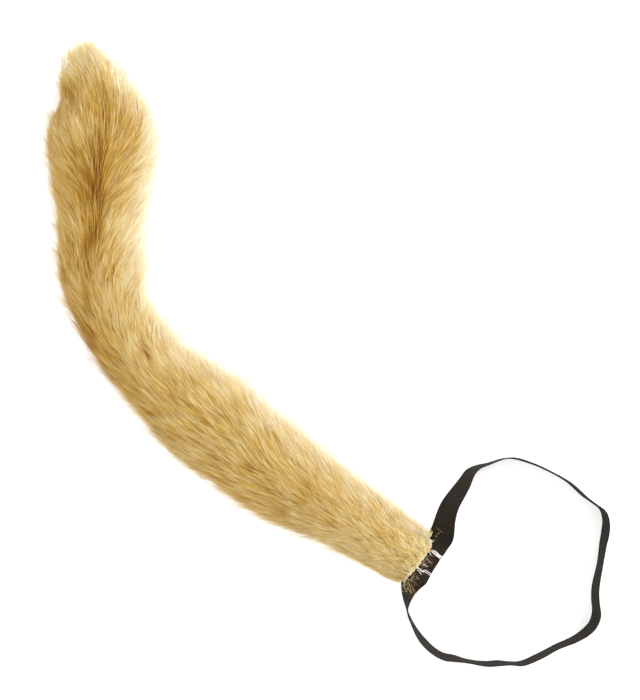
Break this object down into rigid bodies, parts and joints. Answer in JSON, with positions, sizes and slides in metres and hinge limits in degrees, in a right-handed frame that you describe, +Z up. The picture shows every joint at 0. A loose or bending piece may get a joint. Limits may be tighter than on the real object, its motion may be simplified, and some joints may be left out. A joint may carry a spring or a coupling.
{
  "type": "costume animal tail",
  "caption": "Curved stuffed faux-fur tail with deep pile, its flattened end sewn to a closed loop of flat elastic worn round the waist.",
  "frame": {"origin": "on the surface it lies on, under the middle of its bounding box", "axes": "+Z up from the surface; +Y along the longest side of the box, from the waist loop towards the tail's tip; +X towards the loop"},
  "size_m": [0.549, 0.6216, 0.0741],
  "materials": {
    "fur": "long-pile faux fur, golden tan with pale tips",
    "backing": "knitted fur backing, off-white",
    "elastic": "woven elastic, matte brown-black",
    "thread": "white sewing thread"
  },
  "bodies": {
    "root": {"fur_tail": "fur", "backing_tab": "backing", "waist_band": "elastic"}
  },
  "joints": []
}
